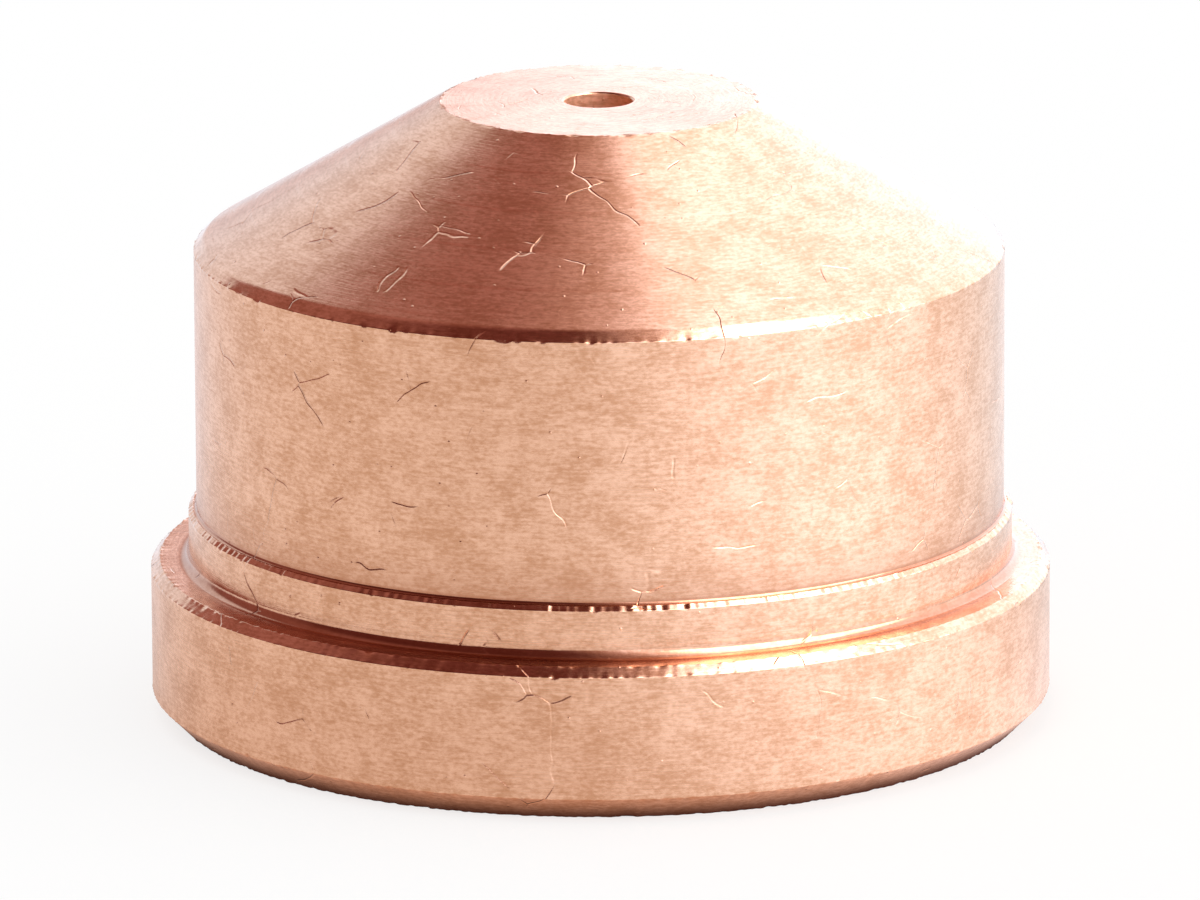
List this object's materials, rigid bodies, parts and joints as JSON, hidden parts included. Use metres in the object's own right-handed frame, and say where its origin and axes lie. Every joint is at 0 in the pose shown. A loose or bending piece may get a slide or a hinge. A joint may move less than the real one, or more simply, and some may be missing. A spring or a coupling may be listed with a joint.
{
  "type": "plasma torch nozzle",
  "caption": "Turned copper nozzle for a plasma cutting torch: rear flange and cap ledge, plain body, cone to a small flat face with a central orifice, stepped bore inside.",
  "frame": {"origin": "centre of the flat back face, on the axis", "axes": "+Z along the axis from the back face to the front face, where the arc comes out; X and Y are alike, because the part is round"},
  "size_m": [0.0226, 0.0224, 0.0155],
  "materials": {
    "copper": "bare copper as turned, satin with fine turning marks"
  },
  "bodies": {
    "root": {"nozzle": "copper"}
  },
  "joints": []
}
